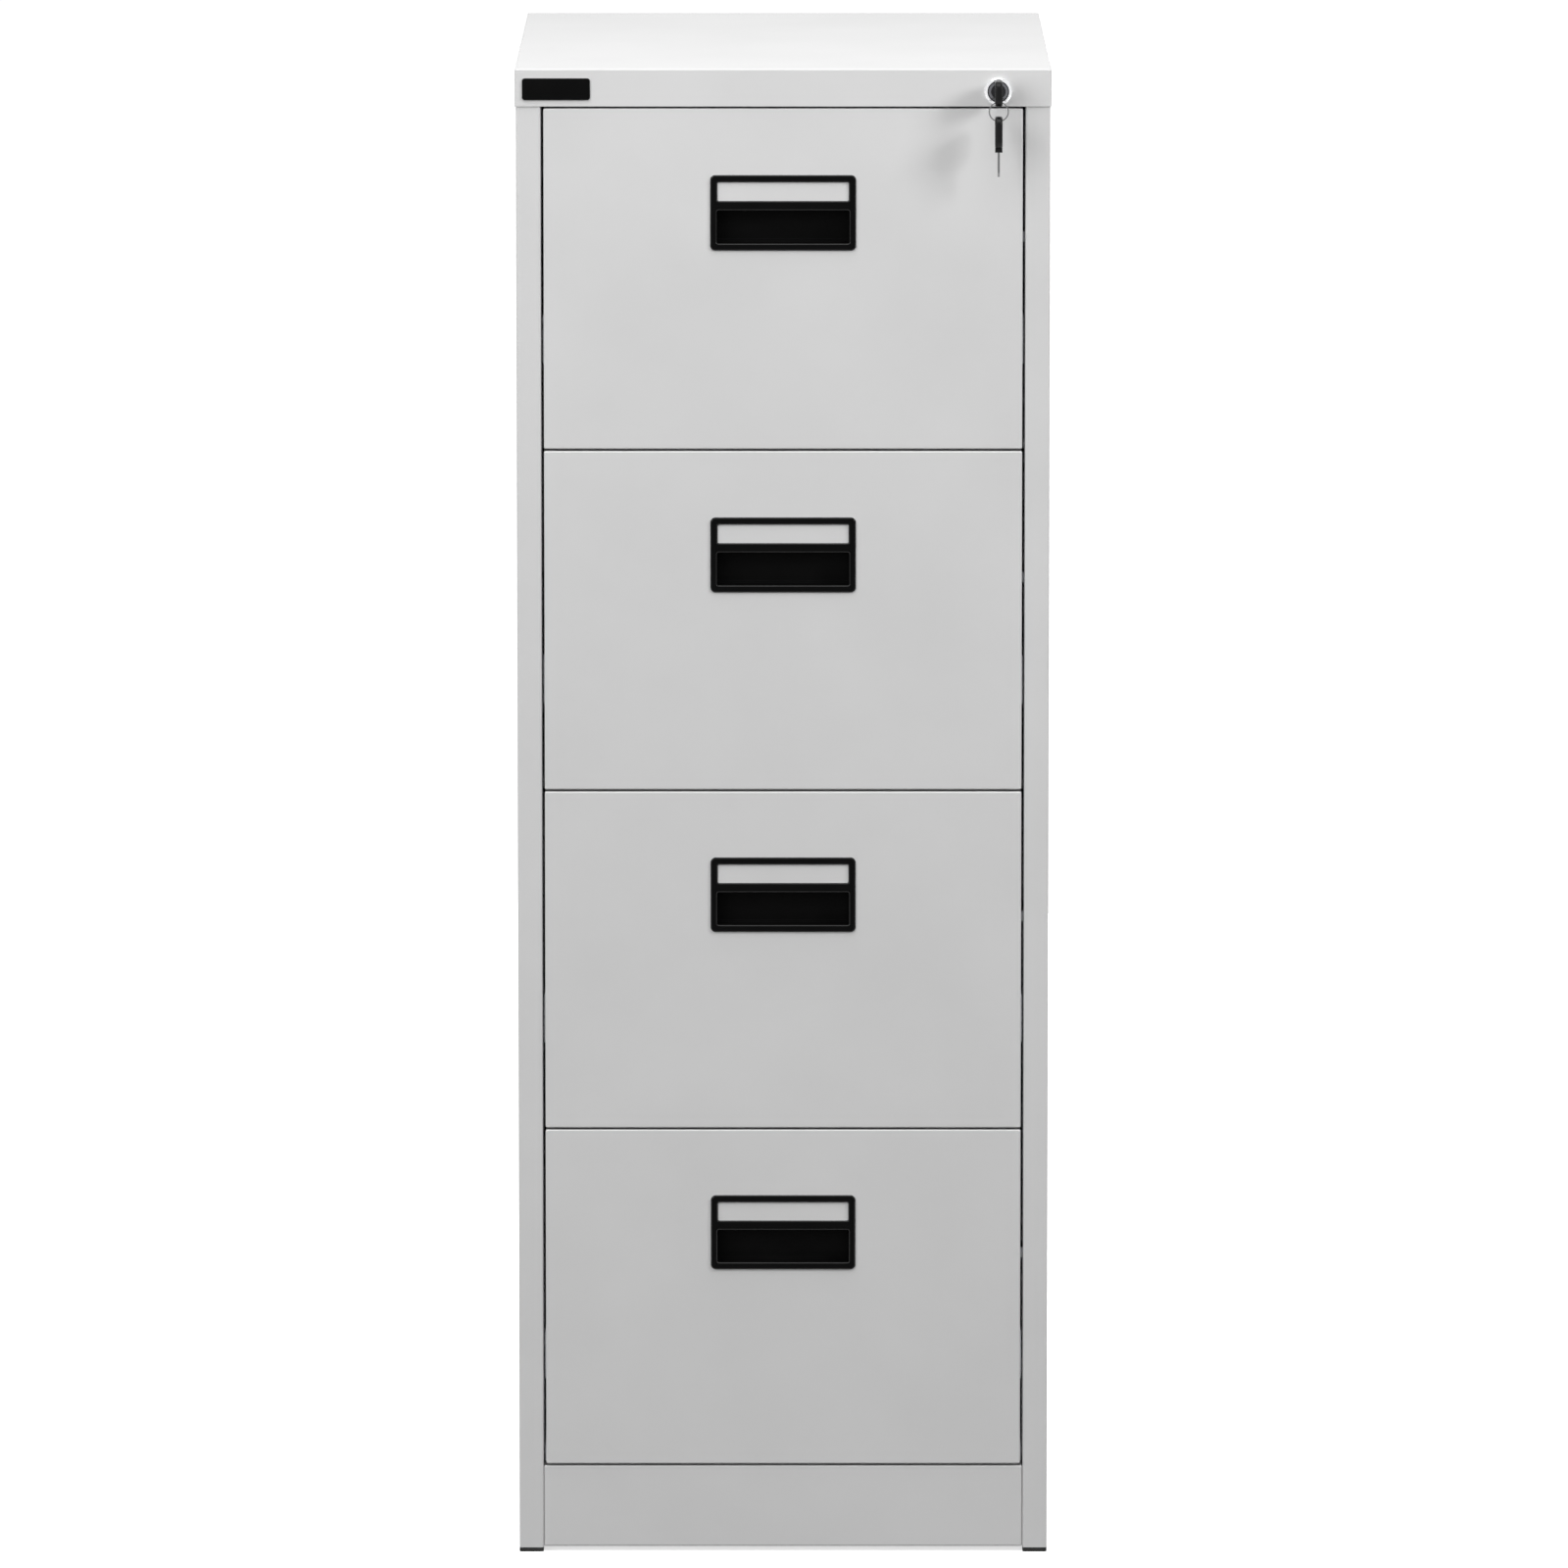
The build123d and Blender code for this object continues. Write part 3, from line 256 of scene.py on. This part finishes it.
# Telescopic slides: three members roll-formed from steel strip, bright zinc plated, with steel
# balls between them, screwed to plated uprights. Plate on rolled strip shows fine streaks along it.
STREAK_WIDTH = 0.0012
STREAK_LENGTH = 0.09
zinc_plate, tree = start_material("bright_zinc_plated_steel")
place = add_node(tree, "ShaderNodeTexCoord").outputs["Object"]
along = add_node(
    tree,
    "ShaderNodeMapping",
    {"Vector": place, "Scale": (1 / STREAK_WIDTH, 1 / STREAK_LENGTH, 1 / STREAK_WIDTH)},
)
streaks = add_node(
    tree, "ShaderNodeTexNoise", {"Vector": along.outputs["Vector"], "Scale": 1, "Detail": 3}
)
tones = add_node(
    tree,
    "ShaderNodeValToRGB",
    {"Fac": streaks.outputs["Fac"]},
    stops=((0.3, "#A9ACB0"), (0.7, "#C3C6C9")),
)
sheen = add_node(
    tree, "ShaderNodeMapRange", {"Value": streaks.outputs["Fac"], "To Min": 0.25, "To Max": 0.42}
)
plate = add_node(
    tree,
    "ShaderNodeBsdfPrincipled",
    {"Base Color": tones.outputs["Color"], "Metallic": 1, "Roughness": sheen.outputs["Result"]},
)
add_node(tree, "ShaderNodeOutputMaterial", {"Surface": plate.outputs["BSDF"]})
DRAWERS = range(1, 5)
for number in DRAWERS:
    dress(zinc_plate, f"slide_outer_{number}", f"slide_mid_{number}", f"slide_inner_{number}")
dress(zinc_plate, "slide_screws", "uprights")

# Rivets: three steel blind rivets hold each drawer member to the side of its tray. A rivet has a
# low round head with the broken end of its mandrel sunk in the middle.
RIVET_RADIUS = 0.0036
RIVET_HEAD = 0.0012
RIVET_MARGIN = 0.6 * RIVET_RADIUS
RIVET_SINK = 0.6 * RIVET_HEAD
RIVET_END = 0.045
OTHER_RIVETS = (0.5, 1)
MEMBER_SHEET = 0.0012
slide_low, slide_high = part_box("slide_inner_1")
tray_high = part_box("drawer_tray_1")[1]
bpy.ops.object.select_all(action="DESELECT")
bpy.ops.mesh.primitive_cylinder_add(
    vertices=ROUND_SIDES,
    radius=RIVET_RADIUS,
    depth=RIVET_HEAD,
    location=(
        tray_high.x + MEMBER_SHEET + RIVET_HEAD / 2,
        slide_low.y + RIVET_END,
        (slide_low.z + slide_high.z) / 2,
    ),
    rotation=(0, math.radians(90), 0),
)
rivet = bpy.context.object
shape_end(rivet, RIVET_MARGIN, RIVET_SINK)
rivet_run = slide_high.y - slide_low.y - 2 * RIVET_END
rivets = [rivet] + [copy_by(rivet, (0, rivet_run * share, 0)) for share in OTHER_RIVETS]
drawer_rivets = join_and_mirror(rivets, "slide_rivets_1")
drawer_rivets.data.materials.append(zinc_plate)
for number in DRAWERS:
    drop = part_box(f"slide_inner_{number}")[0].z - slide_low.z
    row = drawer_rivets if number == 1 else copy_by(drawer_rivets, (0, 0, drop))
    row.name = f"slide_rivets_{number}"
    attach(row, f"drawer_{number}")

# Drawers: a bent tray, a back and an inner front are welded into a box and closed by the folded
# front. All four are coated like the carcass, and a zinc-plated catch is welded to each tray.
for number in DRAWERS:
    dress(powder_coat, f"drawer_front_{number}", f"drawer_liner_{number}")
    dress(powder_coat, f"drawer_tray_{number}", f"drawer_back_{number}")
    dress(zinc_plate, f"drawer_catch_{number}")

# Handles: one black ABS moulding in each front, a frame with a label window over a finger grip.
# The mould's faces were spark-eroded to a dull grain, which is drawn at twice its 0.5 mm to show.
# The frame's rounded edges were left polished, so they catch the light as thin lines.
ABS_GRAIN = 0.001
ABS_GRAIN_DEPTH = 0.0001
ABS_FLOW = 0.03
POLISHED_FROM = 0.97
POLISHED_DEPTH = 0.0042
grained_abs, tree = start_material("spark_grained_black_abs")
place = add_node(tree, "ShaderNodeTexCoord").outputs["Object"]
flow = add_node(
    tree, "ShaderNodeTexNoise", {"Vector": place, "Scale": 1 / ABS_FLOW, "Detail": 2}
)
tones = add_node(
    tree,
    "ShaderNodeValToRGB",
    {"Fac": flow.outputs["Fac"]},
    stops=((0.35, "#080808"), (0.7, "#0B0B0B")),
)
grain = add_node(
    tree, "ShaderNodeTexNoise", {"Vector": place, "Scale": 1 / ABS_GRAIN, "Detail": 2}
)
dullness = add_node(
    tree, "ShaderNodeMapRange", {"Value": grain.outputs["Fac"], "To Min": 0.45, "To Max": 0.6}
)
relief = add_node(
    tree,
    "ShaderNodeBump",
    {"Height": grain.outputs["Fac"], "Strength": 0.2, "Distance": ABS_GRAIN_DEPTH},
)
moulding = add_node(
    tree,
    "ShaderNodeBsdfPrincipled",
    {
        "Base Color": tones.outputs["Color"],
        "Roughness": dullness.outputs["Result"],
        "Specular IOR Level": 0.025,
        "Normal": relief.outputs["Normal"],
    },
)
add_node(tree, "ShaderNodeOutputMaterial", {"Surface": moulding.outputs["BSDF"]})
polished_abs, tree = start_material("polished_black_abs")
place = add_node(tree, "ShaderNodeTexCoord").outputs["Object"]
flow = add_node(
    tree, "ShaderNodeTexNoise", {"Vector": place, "Scale": 1 / ABS_FLOW, "Detail": 2}
)
gloss = add_node(
    tree, "ShaderNodeMapRange", {"Value": flow.outputs["Fac"], "To Min": 0.14, "To Max": 0.24}
)
edge = add_node(
    tree,
    "ShaderNodeBsdfPrincipled",
    {
        "Base Color": linear("#0A0A0A"),
        "Roughness": gloss.outputs["Result"],
        "Specular IOR Level": 0.22,
    },
)
add_node(tree, "ShaderNodeOutputMaterial", {"Surface": edge.outputs["BSDF"]})


def dress_moulding(name):
    """Gives a moulding its dull faces, and polished edges round its front."""
    dress(grained_abs, name)
    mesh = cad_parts[name].data
    mesh.materials.append(polished_abs)
    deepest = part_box(name)[0].y + POLISHED_DEPTH
    for face in mesh.polygons:
        polished = abs(face.normal.y) < POLISHED_FROM and face.center.y < deepest
        face.material_index = 1 if polished else 0


for number in DRAWERS:
    dress_moulding(f"handle_{number}")

# Name plate: a bare black plate with rounded edges, moulded in ABS like the handles and glued to
# the fascia at its left end.
dress_moulding("badge_plate")

# Lock: a die-cast zinc cylinder, pushed through the fascia and the top rail and held by a nut. Its
# bezel is bright chrome, and the face inside the turned groove is plated dark. The groove itself is
# coloured near black as painted shade.
CHROME_SMUDGE = 0.009
GROOVE_INNER = 0.0086
GROOVE_OUTER = 0.0095
BEZEL_REACH = 0.012
FACTOR, FIRST_COLOUR, SECOND_COLOUR, MIXED_COLOUR = 0, 6, 7, 2
plug_low, plug_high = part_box("lock_plug")
lock_axis = (plug_low + plug_high) / 2


def from_lock_axis(tree):
    """Each point's offset from the lock's axis."""
    place = add_node(tree, "ShaderNodeTexCoord").outputs["Object"]
    across = {"Vector": place, "Location": (-lock_axis.x, 0, -lock_axis.z), "Scale": (1, 0, 1)}
    return add_node(tree, "ShaderNodeMapping", across).outputs["Vector"]


chrome, tree = start_material("chrome_plated_zinc")
place = add_node(tree, "ShaderNodeTexCoord").outputs["Object"]
smudges = add_node(
    tree, "ShaderNodeTexNoise", {"Vector": place, "Scale": 1 / CHROME_SMUDGE, "Detail": 4}
)
tones = add_node(
    tree,
    "ShaderNodeValToRGB",
    {"Fac": smudges.outputs["Fac"]},
    stops=((0, "#E6E7E9"), (1, "#F3F4F5")),
)
radius = add_node(tree, "ShaderNodeVectorMath", {0: from_lock_axis(tree)}, operation="LENGTH")
share = add_node(
    tree, "ShaderNodeMapRange", {"Value": radius.outputs["Value"], "From Max": BEZEL_REACH}
)
# The near-black band over the turned groove is painted shade. Inside it the face is plated dark,
# and outside it the bezel keeps the chrome's tone.
face_and_painted_groove_shade = add_node(
    tree,
    "ShaderNodeValToRGB",
    {"Fac": share.outputs["Result"]},
    stops=(
        (0, "#747477"),
        (GROOVE_INNER / BEZEL_REACH, "#0A0A0A"),
        (GROOVE_OUTER / BEZEL_REACH, "#FFFFFF"),
    ),
)
face_and_painted_groove_shade.color_ramp.interpolation = "CONSTANT"
shaded = add_node(
    tree,
    "ShaderNodeMix",
    {
        FACTOR: 1,
        FIRST_COLOUR: tones.outputs["Color"],
        SECOND_COLOUR: face_and_painted_groove_shade.outputs["Color"],
    },
    data_type="RGBA",
    blend_type="MULTIPLY",
)
sheen = add_node(
    tree, "ShaderNodeMapRange", {"Value": smudges.outputs["Fac"], "To Min": 0.08, "To Max": 0.22}
)
mirror_plate = add_node(
    tree,
    "ShaderNodeBsdfPrincipled",
    {
        "Base Color": shaded.outputs[MIXED_COLOUR],
        "Metallic": 1,
        "Roughness": sheen.outputs["Result"],
    },
)
add_node(tree, "ShaderNodeOutputMaterial", {"Surface": mirror_plate.outputs["BSDF"]})
dress(chrome, "lock_housing")
dress(zinc_plate, "lock_nut", "lock_cam", "cam_screw")

# Lock plug: the turned brass core that the key enters, plated black nickel, with fine marks from
# the lathe round its face. It turns in the housing and carries the cam on its tail.
LATHE_MARK = 0.0009
WAVE_AT_SCALE_1 = 0.314
black_nickel, tree = start_material("black_nickel_plated_brass")
marks = add_node(
    tree,
    "ShaderNodeTexWave",
    {
        "Vector": from_lock_axis(tree),
        "Scale": WAVE_AT_SCALE_1 / LATHE_MARK,
        "Distortion": 1.5,
    },
    wave_type="RINGS",
    rings_direction="Y",
)
tones = add_node(
    tree,
    "ShaderNodeValToRGB",
    {"Fac": marks.outputs["Fac"]},
    stops=((0, "#29292A"), (1, "#3C3C3E")),
)
dark_plate = add_node(
    tree,
    "ShaderNodeBsdfPrincipled",
    {"Base Color": tones.outputs["Color"], "Metallic": 1, "Roughness": 0.3},
)
add_node(tree, "ShaderNodeOutputMaterial", {"Surface": dark_plate.outputs["BSDF"]})
dress(black_nickel, "lock_plug")

# Lock bar: flat zinc-plated steel with a lug riveted on for each drawer. It slides up and down in
# moulded nylon guides.
NYLON_CLOUD = 0.012
nylon, tree = start_material("natural_nylon")
place = add_node(tree, "ShaderNodeTexCoord").outputs["Object"]
clouds = add_node(
    tree, "ShaderNodeTexNoise", {"Vector": place, "Scale": 1 / NYLON_CLOUD, "Detail": 2}
)
tones = add_node(
    tree,
    "ShaderNodeValToRGB",
    {"Fac": clouds.outputs["Fac"]},
    stops=((0, "#DAD7CB"), (1, "#E6E3DA")),
)
milky = add_node(
    tree,
    "ShaderNodeBsdfPrincipled",
    {"Base Color": tones.outputs["Color"], "Roughness": 0.42},
)
add_node(tree, "ShaderNodeOutputMaterial", {"Surface": milky.outputs["BSDF"]})
dress(zinc_plate, "lock_bar", "bar_lugs")
dress(nylon, "bar_guides")

# Keys: stamped brass blades, nickel plated and brushed by use, with black nylon heads moulded
# round them. One key is in the lock, and the spare one hangs from the ring.
KEY_BRUSH = 0.0006
nickel, tree = start_material("nickel_plated_brass")
place = add_node(tree, "ShaderNodeTexCoord").outputs["Object"]
brush = add_node(
    tree, "ShaderNodeTexNoise", {"Vector": place, "Scale": 1 / KEY_BRUSH, "Detail": 2}
)
tones = add_node(
    tree,
    "ShaderNodeValToRGB",
    {"Fac": brush.outputs["Fac"]},
    stops=((0, "#5F5F60"), (1, "#7B7B7C")),
)
plate = add_node(
    tree,
    "ShaderNodeBsdfPrincipled",
    {"Base Color": tones.outputs["Color"], "Metallic": 1, "Roughness": 0.28},
)
add_node(tree, "ShaderNodeOutputMaterial", {"Surface": plate.outputs["BSDF"]})
dress(nickel, "key_blade", "spare_key_blade")
KEY_GRAIN = 0.0008
KEY_GRAIN_DEPTH = 0.00008
key_plastic, tree = start_material("black_key_nylon")
place = add_node(tree, "ShaderNodeTexCoord").outputs["Object"]
grain = add_node(
    tree, "ShaderNodeTexNoise", {"Vector": place, "Scale": 1 / KEY_GRAIN, "Detail": 2}
)
tones = add_node(
    tree,
    "ShaderNodeValToRGB",
    {"Fac": grain.outputs["Fac"]},
    stops=((0, "#080808"), (1, "#0F0F10")),
)
relief = add_node(
    tree,
    "ShaderNodeBump",
    {"Height": grain.outputs["Fac"], "Strength": 0.2, "Distance": KEY_GRAIN_DEPTH},
)
bow = add_node(
    tree,
    "ShaderNodeBsdfPrincipled",
    {
        "Base Color": tones.outputs["Color"],
        "Roughness": 0.3,
        "Specular IOR Level": 0.14,
        "Normal": relief.outputs["Normal"],
    },
)
add_node(tree, "ShaderNodeOutputMaterial", {"Surface": bow.outputs["BSDF"]})
dress(key_plastic, "key_head", "spare_key_head")

# Key ring: flat spring-steel wire, wound twice round and closed on itself, so that a key is worked
# on between the turns. It hangs in the eye of the lock's key.
RING_TURNS = 2
RING_STEPS = 72
WIRE_FILL = 0.96
WIRE_ROUNDING = 1 / 6
MERGE_DISTANCE = 1e-6
ring_low, ring_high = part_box("key_ring")
ring_centre = (ring_low + ring_high) / 2
wire_thickness = (ring_high.y - ring_low.y) / (RING_TURNS + 1)
wire_width = ring_high.y - ring_low.y
ring_radius = (ring_high.x - ring_low.x - wire_width) / 2
bpy.ops.object.select_all(action="DESELECT")
bpy.ops.mesh.primitive_plane_add(size=1, location=ring_centre)
split_ring = bpy.context.object
split_ring.name = "key_ring_coil"
bpy.ops.object.mode_set(mode="EDIT")
bpy.ops.mesh.select_all(action="SELECT")
bpy.ops.transform.resize(value=(wire_width, wire_thickness * WIRE_FILL, 1))
bpy.ops.transform.translate(value=(ring_radius, (wire_thickness - wire_width) / 2, 0))
bpy.ops.mesh.delete(type="ONLY_FACE")
bpy.ops.object.mode_set(mode="OBJECT")
winding = split_ring.modifiers.new("winding", "SCREW")
winding.axis = "Y"
winding.steps = winding.render_steps = RING_STEPS
winding.iterations = RING_TURNS
winding.screw_offset = wire_thickness
bpy.ops.object.modifier_apply(modifier="winding")
bpy.ops.object.mode_set(mode="EDIT")
bpy.ops.mesh.select_all(action="SELECT")
bpy.ops.mesh.remove_doubles(threshold=MERGE_DISTANCE)
bpy.ops.mesh.select_all(action="SELECT")
bpy.ops.mesh.fill_holes(sides=4)
bpy.ops.object.mode_set(mode="OBJECT")
face_outwards()
round_edges(split_ring, wire_thickness * WIRE_ROUNDING)
split_ring.data.materials.append(nickel)
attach(split_ring, "ring")
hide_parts("key_ring")

# Floor and light: a white studio floor, large soft lights overhead and at the left, and a smaller
# one at the upper right, so the cabinet pales towards its top and the keys shade to the lower left.
# A fourth, behind the cabinet and lower than its top, lights the back.
FLOOR_SIZE = 60
FLOOR_GLOW = 0.66
AMBIENT = 0.4


def seen_rays(tree):
    """1 for rays of the camera and of what metal and glass show, 0 for those that only light."""
    path = add_node(tree, "ShaderNodeLightPath")
    seen = path.outputs["Is Camera Ray"]
    for kind in ("Is Glossy Ray", "Is Transmission Ray"):
        both = {0: seen, 1: path.outputs[kind]}
        seen = add_node(tree, "ShaderNodeMath", both, operation="MAXIMUM").outputs[0]
    return seen


bpy.ops.object.select_all(action="DESELECT")
bpy.ops.mesh.primitive_plane_add(size=FLOOR_SIZE)
floor = bpy.context.object
floor.name = "studio_floor"
floor_white, tree = start_material("white_studio_floor")
matt = add_node(tree, "ShaderNodeBsdfDiffuse", {"Color": linear("#333333")})
paper = add_node(tree, "ShaderNodeBsdfDiffuse", {"Color": linear("#FFFFFF")})
glow = add_node(tree, "ShaderNodeEmission", {"Color": linear("#FFFFFF"), "Strength": FLOOR_GLOW})
white = add_node(tree, "ShaderNodeAddShader", {0: paper.outputs[0], 1: glow.outputs[0]})
cover = add_node(
    tree, "ShaderNodeMixShader", {"Fac": seen_rays(tree), 1: matt.outputs[0], 2: white.outputs[0]}
)
add_node(tree, "ShaderNodeOutputMaterial", {"Surface": cover.outputs[0]})
floor.data.materials.append(floor_white)

world = bpy.data.worlds.new("studio")
bpy.context.scene.world = world
world.use_nodes = True
tree = world.node_tree
tree.nodes.clear()
level = add_node(
    tree, "ShaderNodeMapRange", {"Value": seen_rays(tree), "To Min": AMBIENT, "To Max": 1}
)
sky = add_node(
    tree, "ShaderNodeBackground", {"Color": linear("#FFFFFF"), "Strength": level.outputs["Result"]}
)
add_node(tree, "ShaderNodeOutputWorld", {"Surface": sky.outputs[0]})

cap_low, cap_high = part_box("top_cap")
cap_front = Vector((0, cap_low.y, cap_high.z))
for name, offset, aim, size, power in (
    ("overhead_softbox", (-0.3, -0.9, 2.6), (0, 0.2, -0.6), 2.4, 75),
    ("left_softbox", (-2.6, -2.8, 0.85), (0, 0, -0.45), 2.6, 82),
    ("right_softbox", (2.62, -1.56, 1.12), (0, 0, -0.2), 0.8, 51),
    ("rear_softbox", (0.9, 3.8, -0.8), (0, 0.6, -0.6), 1.4, 50),
):
    place = cap_front + Vector(offset)
    turn = (cap_front + Vector(aim) - place).to_track_quat("-Z", "Y").to_euler()
    bpy.ops.object.light_add(type="AREA", location=place, rotation=turn)
    light = bpy.context.object
    light.name = name
    light.data.size = size
    light.data.energy = power

# Camera: a long lens far in front, a little above the cap. The photograph's upright lines are kept
# by the distance, and its frame by the aim, so the lens isn't shifted.
IMAGE = 1600
SENSOR = 36
CAMERA_SIDE = 0.0008
CAMERA_DISTANCE = 12.0
CAMERA_HEIGHT = 2.32
CAMERA_PITCH = 7.743
CAMERA_FOCUS = 14020
bpy.ops.object.camera_add(
    location=(CAMERA_SIDE, cap_low.y - CAMERA_DISTANCE, CAMERA_HEIGHT),
    rotation=(math.radians(90 - CAMERA_PITCH), 0, 0),
)
camera = bpy.context.object
camera.name = "photograph_camera"
camera.data.sensor_width = SENSOR
camera.data.lens = CAMERA_FOCUS / IMAGE * SENSOR
bpy.context.scene.camera = camera
bpy.context.scene.view_settings.view_transform = "Standard"

bpy.context.view_layer.update()
